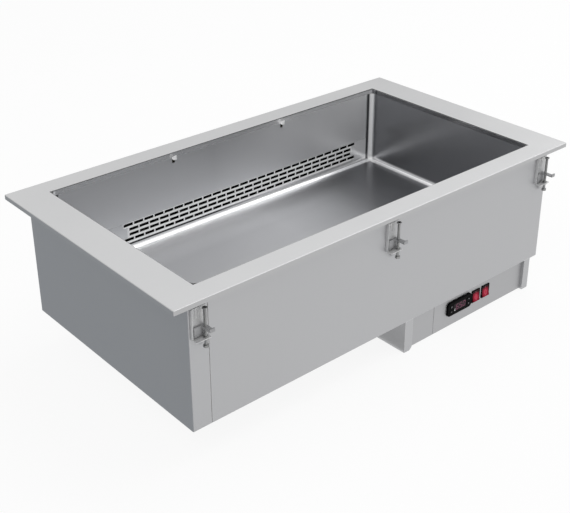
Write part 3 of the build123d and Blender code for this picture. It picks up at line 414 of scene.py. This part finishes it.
buttonLook = {"dark": (0.42, 0.012, 0.012), "light": (0.56, 0.03, 0.025), "rubAndGlint": (0.68, 0.12, 0.1),
              "grainScale": 2400.0, "rough": 0.34, "bump": 0.1, "edge": 0.0004, "shine": 0.5}
printLook = {"dark": (0.62, 0.62, 0.62), "light": (0.78, 0.78, 0.78), "rubAndGlint": (0.6, 0.6, 0.6),
             "grainScale": 2400.0, "rough": 0.5, "bump": 0.1, "edge": 0.0001, "shine": 0.3}
greyPrintLook = {"dark": (0.16, 0.16, 0.17), "light": (0.24, 0.24, 0.25), "rubAndGlint": (0.2, 0.2, 0.2),
                 "grainScale": 2400.0, "rough": 0.5, "bump": 0.1, "edge": 0.0001, "shine": 0.3}
rockerPrintLook = {"dark": (0.5, 0.12, 0.15), "light": (0.6, 0.17, 0.2), "rubAndGlint": (0.6, 0.17, 0.2),
                   "grainScale": 2400.0, "rough": 0.5, "bump": 0.1, "edge": 0.0001, "shine": 0.05}
blackPlastic = mouldedPlastic("blackPlastic", blackLook)
keyPlastic = mouldedPlastic("keyPlastic", keyLook)
bearingRubber = mouldedPlastic("bearingRubber", rubberLook)
palePlastic = mouldedPlastic("palePlastic", paleLook)
buttonPlastic = mouldedPlastic("buttonPlastic", buttonLook)
whitePrint = mouldedPlastic("whitePrint", printLook)
greyPrint = mouldedPlastic("greyPrint", greyPrintLook)
rockerPrint = mouldedPlastic("rockerPrint", rockerPrintLook)


def smokedWindow(name, look):  # dark tinted acrylic with wipe marks
    material, pen, place = startFinish(name)
    haze = cloud(pen, place, look["hazeScale"], 2.0)
    scuffs = cloud(pen, place, 1.0, 3.0, look["scuff"])
    rounded, edge = roundedEdge(pen, look["edge"])
    colour = blendColour(pen, contrast(pen, haze, look["contrast"]), look["dark"], look["light"])
    endFinish(pen, {"Base Color": blendColour(pen, edge * look["rubAndGlintShare"], colour, look["rubAndGlint"]),
                    "Roughness": bounded(pen, scuffs * look["scuffRough"] + look["rough"]),
                    "Specular IOR Level": look["shine"],
                    "Normal": relief(pen, scuffs, look["bump"], look["depth"], rounded)})
    return material


windowLook = {"dark": (0.006, 0.002, 0.004), "light": (0.016, 0.004, 0.009), "rubAndGlint": (0.05, 0.03, 0.035),
              "hazeScale": 140.0, "contrast": 2.0, "scuff": (2600.0, 40.0, 160.0), "rough": 0.1,
              "scuffRough": 0.12, "bump": 0.04, "depth": 0.0001, "edge": 0.0004, "rubAndGlintShare": 0.3,
              "shine": 0.12}
windowAcrylic = smokedWindow("windowAcrylic", windowLook)


def litSegments(name, look):  # red display bars, unevenly lit
    material, pen, place = startFinish(name)
    flicker = cloud(pen, place, look["flickerScale"], 2.0)
    glow = blendColour(pen, contrast(pen, flicker, look["contrast"]), look["dim"], look["bright"])
    endFinish(pen, {"Base Color": glow, "Emission Color": glow, "Emission Strength": 1.0,
                    "Roughness": bounded(pen, flicker * look["flickerRough"] + look["rough"])})
    return material


segmentLook = {"dim": (0.05, 0.003, 0.02), "bright": (0.1, 0.008, 0.04), "flickerScale": 420.0,
               "contrast": 2.0, "rough": 0.2, "flickerRough": 0.2}
segmentRed = litSegments("segmentRed", segmentLook)

rockerGlow = {"lampAt": 0.38, "spread": (90.0, 0.0, 75.0), "reach": 1.15,
              "shadeFrom": 0.0095, "shadeRate": 320.0, "shadeShare": 0.93,
              "deep": (0.13, 0.003, 0.01), "clear": (0.5, 0.025, 0.06),
              "dark": (0.012, 0.001, 0.002), "rubAndGlint": (0.55, 0.08, 0.11), "lamp": (0.1, 0.006, 0.016),
              "hazeScale": 260.0, "glowTone": 0.8, "hazeTone": 0.5, "rough": 0.2, "hazeRough": 0.12,
              "bump": 0.08, "depth": 0.0001, "edge": 0.0006, "rubAndGlintShare": 0.2, "shine": 0.06}


def lampRocker(name, node):  # clear red rocker with a lamp behind its lower half, and painted shade darkening its upper half where it sinks under the bezel
    material, pen, place = startFinish(name)
    look, (low, high) = rockerGlow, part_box(node)
    lamp = ((low.x + high.x) / 2, low.y, low.z + look["lampAt"] * (high.z - low.z))
    middle = pen.node("ShaderNodeMapping", {"vector_type": "POINT"},
                      {"Vector": place, "Location": tuple(-x for x in lamp)})
    spread = pen.node("ShaderNodeVectorMath", {"operation": "MULTIPLY"}, {0: middle, 1: look["spread"]})
    away = pen.node("ShaderNodeVectorMath", {"operation": "LENGTH"}, {0: spread}, "Value")
    glow = bounded(pen, look["reach"] - away)
    height = pen.node("ShaderNodeSeparateXYZ", None, {"Vector": middle}, "Z")
    # painted shade: the upper part darkened as if sunk in the bezel's shadow
    shade = bounded(pen, (height - look["shadeFrom"]) * look["shadeRate"])
    haze = cloud(pen, place, look["hazeScale"], 2.0)
    rounded, edge = roundedEdge(pen, look["edge"])
    tone = bounded(pen, glow * look["glowTone"] + (haze - 0.5) * look["hazeTone"])
    colour = blendColour(pen, tone, look["deep"], look["clear"])
    colour = blendColour(pen, shade * look["shadeShare"], colour, look["dark"])
    light = blendColour(pen, bounded(pen, glow - shade), (0.0, 0.0, 0.0), look["lamp"])
    endFinish(pen, {"Base Color": blendColour(pen, edge * look["rubAndGlintShare"], colour, look["rubAndGlint"]),
                    "Roughness": bounded(pen, haze * look["hazeRough"] + look["rough"]),
                    "Specular IOR Level": look["shine"], "Emission Color": light, "Emission Strength": 1.0,
                    "Normal": relief(pen, haze, look["bump"], look["depth"], rounded)})
    return material


heatRocker = lampRocker("heatRocker", "heat_switch_rocker")
fanRocker = lampRocker("fanRocker", "fan_switch_rocker")

nodeFinish = {
    flangeSteel: ["top_flange"],
    wellSteel: ["well_tub"],
    hookSteel: ["divider_hooks"],
    casingSteel: ["casing_*", "control_box_*"],
    panelSteel: ["control_panel", "filler_panel"],
    ductShadeSheet: ["air_chamber_pan", "rear_air_duct", "duct_divider"],
    galvanisedSheet: ["element_brackets", "blower_housing", "bulb_clips"],
    mineralWool: ["insulation_*"],
    zincSteel: ["box_screws", "clamp_screw_*"],
    bracketSteel: ["clamp_bracket*"],
    clawSteel: ["clamp_claw_*"],
    elementSheath: ["heating_element"],
    bushBrass: ["element_bushes"],
    motorIron: ["blower_motor"],
    bearingRubber: ["blower_bearing"],
    wheelAluminium: ["blower_wheel"],
    probeSteel: ["air_probe", "limit_bulb"],
    blackPlastic: ["limit_thermostat", "controller_case", "heat_switch_housing", "fan_switch_housing",
                   "cable_gland", "gland_cap"],
    windowAcrylic: ["controller_window"],
    keyPlastic: ["controller_key_*"],
    heatRocker: ["heat_switch_rocker"],
    fanRocker: ["fan_switch_rocker"],
    buttonPlastic: ["reset_button"],
    palePlastic: ["terminal_block"],
}


def dressNodes():
    dressed = set()
    for material, names in nodeFinish.items():
        for name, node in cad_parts.items():
            if any(name == n or (n.endswith("*") and name.startswith(n[:-1])) for n in names):
                node.data.materials.clear()
                node.data.materials.append(material)
                dressed.add(name)
    print("finishes:", len(nodeFinish), "on", len(dressed), "of", len(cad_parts), "nodes")


dressNodes()


def bareObject(name, mesh, material):
    mesh.materials.append(material)
    made = bpy.data.objects.new(name, mesh)
    bpy.context.scene.collection.objects.link(made)
    return made


def newPiece(name, shape, material):
    shape.normal_update()
    mesh = bpy.data.meshes.new(name)
    shape.to_mesh(mesh)
    shape.free()
    return bareObject(name, mesh, material)


def carry(piece, body):
    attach(piece, body)


def runTree(piece, tree, values):  # sets a tree's inputs, and turns its result into a plain mesh
    layer = piece.modifiers.new(tree.name, "NODES")
    layer.node_group = tree
    for item in tree.interface.items_tree:
        if item.item_type == "SOCKET" and item.in_out == "INPUT" and item.name in values:
            layer[item.identifier] = values[item.name]
    bpy.context.view_layer.update()
    made = bpy.data.meshes.new_from_object(piece.evaluated_get(bpy.context.evaluated_depsgraph_get()))
    piece.modifiers.remove(layer)
    old, made.name = piece.data, piece.name
    piece.data = made
    bpy.data.meshes.remove(old)


def startTree(name, inputs):
    tree = bpy.data.node_groups.new(name, "GeometryNodeTree")
    tree.interface.new_socket(name="Geometry", in_out="INPUT", socket_type="NodeSocketGeometry")
    tree.interface.new_socket(name="Geometry", in_out="OUTPUT", socket_type="NodeSocketGeometry")
    for key, kind in inputs.items():
        tree.interface.new_socket(name=key, in_out="INPUT", socket_type="NodeSocket" + kind)
    pen = Wire(tree)
    entry = tree.nodes.new("NodeGroupInput")
    return tree, pen, {o.name: Wire(tree, o) for o in entry.outputs if o.name}


def endTree(pen, parts, material):
    joined = pen.node("GeometryNodeJoinGeometry", None, {"Geometry": parts})
    real = pen.node("GeometryNodeRealizeInstances", None, {"Geometry": joined})
    done = pen.node("GeometryNodeSetMaterial", None, {"Geometry": real, "Material": material})
    pen.node("NodeGroupOutput", None, {"Geometry": done})


# Clamp screws: a turned shank with its hexagon head and collars, and a rolled thread wound round it
clampScrew = {"count": 6, "rootRadius": 2.5 * mm, "shankRadius": 2.95 * mm, "shankTop": -75.7 * mm,
              "headRadius": 5.75 * mm, "headHeight": 5.0 * mm, "headSides": 6, "headChamfer": 0.5 * mm,
              "barSides": 24, "shankChamfer": 0.1 * mm, "rootChamfer": 0.3 * mm,
              "collars": [(-82.3, -80.3), (-77.7, -75.7), (-17.0, -15.0)], "collarRadius": 5.0 * mm,
              "collarSides": 32, "collarChamfer": 0.3 * mm,
              "threadTop": -17.2 * mm, "pitch": 1.0 * mm, "tooth": 0.5 * mm, "toothSides": 4, "turnSteps": 14}


def threadTree():
    kinds = {"Tooth Radius": "Float", "Thread Radius": "Float", "Pitch": "Float", "Turns": "Float",
             "Start": "Vector", "Finish": "Material"}
    tree, pen, given = startTree("rolledThread", kinds)
    path = pen.node("GeometryNodeCurveSpiral", None, {
        "Resolution": clampScrew["turnSteps"], "Rotations": given["Turns"],
        "Start Radius": given["Thread Radius"], "End Radius": given["Thread Radius"],
        "Height": given["Turns"] * given["Pitch"]})
    path = pen.node("GeometryNodeSetCurveNormal", {"mode": "Z_UP"}, {"Curve": path})
    tooth = pen.node("GeometryNodeCurvePrimitiveCircle", None,
                     {"Resolution": clampScrew["toothSides"], "Radius": given["Tooth Radius"]})
    thread = pen.node("GeometryNodeCurveToMesh", None,
                      {"Curve": path, "Profile Curve": tooth, "Fill Caps": True})
    placed = pen.node("GeometryNodeTransform", None, {"Geometry": thread, "Translation": given["Start"]})
    endTree(pen, [given["Geometry"], placed], given["Finish"])
    return tree


def turnedBar(shape, centre, low, high, radius, sides, chamfer):
    made = bmesh.ops.create_cone(shape, cap_ends=True, segments=sides, radius1=radius, radius2=radius,
                                 depth=high - low, matrix=Matrix.Translation((*centre, (low + high) / 2)))
    rims = {e for v in made["verts"] for e in v.link_edges
            if abs(e.verts[0].co.z - e.verts[1].co.z) < 1e-7}
    bmesh.ops.bevel(shape, geom=list(rims), offset=chamfer, segments=2, affect="EDGES", profile=0.6)


def clampScrews():
    tree, s = threadTree(), clampScrew
    turns = (s["threadTop"] - s["shankTop"]) / s["pitch"]
    for number in range(1, s["count"] + 1):
        node = "clamp_screw_%d" % number
        low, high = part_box(node)
        centre = ((low.x + high.x) / 2, (low.y + high.y) / 2)
        headTop = low.z + s["headHeight"]
        shape = bmesh.new()
        turnedBar(shape, centre, low.z, headTop, s["headRadius"], s["headSides"], s["headChamfer"])
        turnedBar(shape, centre, headTop, s["shankTop"], s["shankRadius"], s["barSides"], s["shankChamfer"])
        turnedBar(shape, centre, s["shankTop"], high.z, s["rootRadius"], s["barSides"], s["rootChamfer"])
        for bottom, top in s["collars"]:
            turnedBar(shape, centre, bottom * mm, top * mm, s["collarRadius"], s["collarSides"],
                      s["collarChamfer"])
        piece = newPiece("clampScrew%d" % number, shape, zincSteel)
        runTree(piece, tree, {"Tooth Radius": s["tooth"], "Thread Radius": s["rootRadius"],
                              "Pitch": s["pitch"], "Turns": turns, "Start": (*centre, s["shankTop"]),
                              "Finish": zincSteel})
        carry(piece, node + "_body")
        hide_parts(node)
    print("clamp screws:", s["count"], "with", round(turns, 1), "turns of thread each")


clampScrews()

# Gland cap: grip ribs round its skirt
capGrip = {"count": 26, "ribRadius": 0.7 * mm, "ribLength": 8.0 * mm, "ribSides": 10, "sink": 0.35 * mm,
           "from": 2.5 * mm}


def ribTree():
    kinds = {"Count": "Int", "Ring Radius": "Float", "Rib Radius": "Float", "Rib Length": "Float",
             "Middle": "Vector", "Finish": "Material"}
    tree, pen, given = startTree("gripRibs", kinds)
    ring = pen.node("GeometryNodeMeshCircle", None,
                    {"Vertices": given["Count"], "Radius": given["Ring Radius"]})
    rib = pen.node("GeometryNodeMeshCylinder", None, {
        "Vertices": capGrip["ribSides"], "Radius": given["Rib Radius"], "Depth": given["Rib Length"]})
    ribs = pen.node("GeometryNodeInstanceOnPoints", None, {"Points": ring, "Instance": rib})
    placed = pen.node("GeometryNodeTransform", None, {
        "Geometry": ribs, "Translation": given["Middle"], "Rotation": (math.pi / 2, 0, 0)})
    endTree(pen, [placed], given["Finish"])
    return tree


def glandGrip():
    low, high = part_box("gland_cap")
    piece = newPiece("glandGrip", bmesh.new(), blackPlastic)
    middle = ((low.x + high.x) / 2, low.y + capGrip["from"] + capGrip["ribLength"] / 2, (low.z + high.z) / 2)
    radius = (high.x - low.x) / 2 - capGrip["sink"]
    runTree(piece, ribTree(), {"Count": capGrip["count"], "Ring Radius": radius,
                               "Rib Radius": capGrip["ribRadius"], "Rib Length": capGrip["ribLength"],
                               "Middle": middle, "Finish": blackPlastic})
    carry(piece, "unit")
    print("gland grip:", capGrip["count"], "ribs")


glandGrip()


# Printed and raised marks: flat outlines on the XZ plane, given a thickness towards the front
def plate(shape, outline, front, thickness):
    corners = [shape.verts.new((x, front(x, z) if callable(front) else front, z)) for x, z in outline]
    face = shape.faces.new(corners)
    face.normal_update()
    if face.normal.y > 0:
        face.normal_flip()
    grown = bmesh.ops.extrude_face_region(shape, geom=[face])
    moved = [g for g in grown["geom"] if isinstance(g, bmesh.types.BMVert)]
    bmesh.ops.translate(shape, vec=(0, -thickness, 0), verts=moved)


def oblong(left, right, foot, top):
    return [(left, foot), (right, foot), (right, top), (left, top)]


def ringPlate(shape, x, z, outer, inner, front, thickness, stretch=0.0, sides=28):
    for i in range(sides):
        a, b = 2 * math.pi * i / sides, 2 * math.pi * (i + 1) / sides
        plate(shape, [(x + r * math.cos(t), z + (r + stretch) * math.sin(t))
                      for r, t in ((inner, a), (outer, a), (outer, b), (inner, b))], front, thickness)


def markPiece(name, shape, material, body):
    bmesh.ops.remove_doubles(shape, verts=shape.verts, dist=1e-6)
    bmesh.ops.recalc_face_normals(shape, faces=shape.faces)
    carry(newPiece(name, shape, material), body)


# Display: three seven-bar figures with a point, and a small pointer beside them
display = {"text": "65.0", "height": 13.0 * mm, "width": 7.4 * mm, "pitch": 11.8 * mm, "bar": 1.6 * mm,
           "barGap": 0.2, "lean": 0.08, "proud": 0.08 * mm, "shift": 2.6 * mm,
           "pointAway": 1.6 * mm, "pointSize": 0.6, "pointSides": 10,
           "pointer": (3.0 * mm, 7.6 * mm, 3.4 * mm, 1.2 * mm)}  # wide, tall, and in from the window's corner
barsOf = {"0": "abcdef", "5": "acdfg", "6": "acdefg"}


def displayFigures():
    low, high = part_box("controller_window")
    front, d = low.y, display
    shape = bmesh.new()
    w, h, b = d["width"] / 2, d["height"] / 2, d["bar"]
    level = {"a": (0, h), "g": (0, 0), "d": (0, -h)}
    upright = {"f": (-w, h / 2), "b": (w, h / 2), "e": (-w, -h / 2), "c": (w, -h / 2)}
    middleX, middleZ = (low.x + high.x) / 2 + d["shift"], (low.z + high.z) / 2
    figures = [c for c in d["text"] if c != "."]

    def leaning(points, x):
        return [(x + px + pz * d["lean"], middleZ + pz) for px, pz in points]

    for i, figure in enumerate(figures):
        x = middleX + (i - (len(figures) - 1) / 2) * d["pitch"]
        for bar in barsOf[figure]:
            half = (w if bar in level else h / 2) - b * d["barGap"]
            tips = [(-half, 0), (-half + b / 2, b / 2), (half - b / 2, b / 2),
                    (half, 0), (half - b / 2, -b / 2), (-half + b / 2, -b / 2)]
            if bar in level:
                cx, cz = level[bar]
                points = [(cx + px, cz + pz) for px, pz in tips]
            else:
                cx, cz = upright[bar]
                points = [(cx - pz, cz + px) for px, pz in tips]
            plate(shape, leaning(points, x), front, d["proud"])
        if d["text"].find(".") == i + 1:
            r, turn = b * d["pointSize"], 2 * math.pi / d["pointSides"]
            dot = [(w + d["pointAway"] + r * math.cos(k * turn), -h + r * math.sin(k * turn))
                   for k in range(d["pointSides"])]
            plate(shape, leaning(dot, x), front, d["proud"])
    markPiece("displayFigures", shape, segmentRed, "unit")
    wide, tall, right, up = d["pointer"]
    left, foot, shape = low.x + right - wide / 2, low.z + up, bmesh.new()
    plate(shape, [(left, foot), (left + wide, foot), (left + wide / 2, foot + tall)], front, d["proud"])
    markPiece("displayPointer", shape, whitePrint, "unit")
    print("display figures:", len(figures))


displayFigures()

# Key marks: each rides with the key it is printed on
keyMark = {"proud": 0.1 * mm, "sink": 0.02 * mm, "size": 1.9 * mm, "line": 0.55 * mm,
           "arrowHalf": 1.2, "arrowFoot": 0.8, "lineHalf": 1.3, "lineGap": 0.8, "hand": 0.62}


def keyMarks():
    k, keys = keyMark, ("set", "timer", "up", "down")
    s, t, proud = k["size"], k["line"], k["proud"]
    for key in keys:
        low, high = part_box("controller_key_" + key)
        x, z, front = (low.x + high.x) / 2, (low.z + high.z) / 2, low.y + k["sink"]
        shape = bmesh.new()
        if key in ("up", "down"):
            half, side = s * k["arrowHalf"], 1 if key == "up" else -1
            foot = z - side * s * k["arrowFoot"]
            plate(shape, [(x - half, foot), (x + half, foot), (x, z + side * s)], front, proud)
        elif key == "set":
            half = s * k["lineHalf"]
            for drop in (1, 0, -1):
                level = z + drop * s * k["lineGap"]
                plate(shape, oblong(x - half, x + half, level - t / 2, level + t / 2), front, proud)
        else:
            ringPlate(shape, x, z, s, s - t, front, proud)
            plate(shape, oblong(x - t / 2, x + t / 2, z, z + s * k["hand"]), front, proud)
        markPiece("keyMark_" + key, shape, greyPrint, "key_%s_body" % key)
    print("key marks:", len(keys))


keyMarks()

# Rocker marks: a ring on the lower half and a bar on the upper half of each switch
rockerMark = {"proud": 0.1 * mm, "sink": 0.03 * mm, "line": 1.1 * mm, "ring": 4.0 * mm, "stretch": 2.2 * mm,
              "ringAt": 0.38, "bar": 4.0 * mm, "barAt": 0.84}


def faceOf(node):  # how far forward a node's front lies, over the XZ plane
    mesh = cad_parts[node].data
    tree = BVHTree.FromPolygons([v.co for v in mesh.vertices], [p.vertices for p in mesh.polygons])
    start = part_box(node)[0].y - 10 * mm
    return lambda x, z: tree.ray_cast((x, start, z), (0, 1, 0))[0].y + rockerMark["sink"]


def rockerMarks():
    r, switches = rockerMark, ("heat", "fan")
    for switch in switches:
        low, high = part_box(switch + "_switch_rocker")
        front, shape = faceOf(switch + "_switch_rocker"), bmesh.new()
        x, tall = (low.x + high.x) / 2, high.z - low.z
        ringPlate(shape, x, low.z + r["ringAt"] * tall, r["ring"], r["ring"] - r["line"], front, r["proud"],
                  r["stretch"])
        z, half, side = low.z + r["barAt"] * tall, r["bar"] / 2, r["line"] / 2
        plate(shape, oblong(x - side, x + side, z - half, z + half), front, r["proud"])
        markPiece("rockerMark_" + switch, shape, rockerPrint, switch + "_rocker_body")
    print("rocker marks:", len(switches))


rockerMarks()

# Studio: white floor and air, two soft lamps, and grey cards that only the steel's reflections see
studio = {"floorSize": 20.0, "floorDrop": 0.0005, "floorColour": (0.9, 0.9, 0.9, 1), "floorWhite": 0.88,
          "white": (1, 1, 1, 1), "airStrength": 0.7}
lamps = {"keyLamp": {"place": (2.4, -0.4, 3.2), "aim": (0, 0, -0.1), "size": 4.0, "power": 70.0},
         "fillLamp": {"place": (-2.6, -1.2, 2.4), "aim": (0, 0, -0.1), "size": 2.0, "power": 18.0}}
cards = {"cameraSideCard": {"place": (-2.503, -0.951, 0.521), "aim": (-1.916, -0.27, 0.082),
                            "size": (1.36, 1.1), "shade": (0.14, 0.14, 0.14)},
         "leftSideCard": {"place": (-0.595, 0.35, -0.177), "aim": (0.0, 0.35, 0.055),
                          "size": (0.7, 0.2), "shade": (0.46, 0.48, 0.5)},
         "backCard": {"place": (1.7, 1.95, 0.35), "aim": (0.0, 0.0, 0.35),
                      "size": (1.6, 0.8), "shade": (0.74, 0.74, 0.74)},
         "underCard": {"place": (0.008, 0.0, -0.364), "aim": (0.008, 0.0, 1.0),
                       "size": (0.045, 0.3), "shade": (0.58, 0.58, 0.58)}}


def plainSheet(name, corners, material):
    mesh = bpy.data.meshes.new(name)
    mesh.from_pydata(corners, [], [range(len(corners))])
    made = bareObject(name, mesh, material)
    return made


def seenRays(pen):
    kinds = ["Is Camera Ray", "Is Glossy Ray", "Is Transmission Ray"]
    camera, glossy, through = [pen.node("ShaderNodeLightPath", out=kind) for kind in kinds]
    return bounded(pen, camera + glossy + through)


def studioAir():
    world = bpy.data.worlds.new("studioAir")
    bpy.context.scene.world = world
    pen = freshTree(world)
    strength = seenRays(pen) * (1 - studio["airStrength"]) + studio["airStrength"]
    air = pen.node("ShaderNodeBackground", None, {"Color": studio["white"], "Strength": strength})
    pen.node("ShaderNodeOutputWorld", None, {"Surface": air})


def studioFloor():
    material = bpy.data.materials.new("studioFloor")
    pen = freshTree(material)
    paper = pen.node("ShaderNodeBsdfDiffuse", None, {"Color": studio["floorColour"]})
    white = pen.node("ShaderNodeEmission", None, {"Color": studio["white"], "Strength": 1.0})
    mixed = pen.node("ShaderNodeMixShader", None,
                     {0: seenRays(pen) * studio["floorWhite"], 1: paper, 2: white})
    pen.node("ShaderNodeOutputMaterial", None, {"Surface": mixed})
    half, level = studio["floorSize"], cadBox[0].z - studio["floorDrop"]
    plainSheet("studioFloor", [(x, y, level) for x, y in oblong(-half, half, -half, half)], material)


def greyCard(name, place, aim, size, shade):
    material = bpy.data.materials.new(name)
    pen = freshTree(material)
    grey = pen.node("ShaderNodeEmission", None, {"Color": (*shade, 1), "Strength": 1.0})
    pen.node("ShaderNodeOutputMaterial", None, {"Surface": grey})
    turn = (Vector(aim) - Vector(place)).to_track_quat("Z", "Y").to_matrix()
    card = plainSheet(name, [Vector(place) + turn @ Vector((a * size[0], b * size[1], 0))
                             for a, b in oblong(-1, 1, -1, 1)], material)
    card.visible_camera = card.visible_diffuse = card.visible_shadow = False


def softLamp(name, place, aim, size, power):
    lamp = bpy.data.lights.new(name, "AREA")
    lamp.shape, lamp.size, lamp.energy = "SQUARE", size, power
    made = bpy.data.objects.new(name, lamp)
    made.location = place
    made.rotation_euler = (Vector(aim) - Vector(place)).to_track_quat("-Z", "Y").to_euler()
    bpy.context.scene.collection.objects.link(made)


studioAir()
studioFloor()
for name, lamp in lamps.items():
    softLamp(name, **lamp)
for name, card in cards.items():
    greyCard(name, **card)

# Camera: the photograph's own place and lens, worked out for a frame of 570 by 513
view = {"place": (-1.4196, -1.5946, 0.9714), "turn": (63.97, 0.19, -40.854), "sensor": 36.0, "lens": 66.15,
        "shift": -0.0991}
camera = bpy.data.objects.new("photoCamera", bpy.data.cameras.new("photoCamera"))
bpy.context.scene.collection.objects.link(camera)
camera.location = view["place"]
camera.rotation_euler = [math.radians(t) for t in view["turn"]]
camera.data.sensor_width, camera.data.lens, camera.data.shift_y = view["sensor"], view["lens"], view["shift"]
bpy.context.scene.camera = camera
bpy.context.scene.view_settings.view_transform = "Standard"
print("studio and camera ready:", len(lamps), "lamps and", len(cards), "cards")
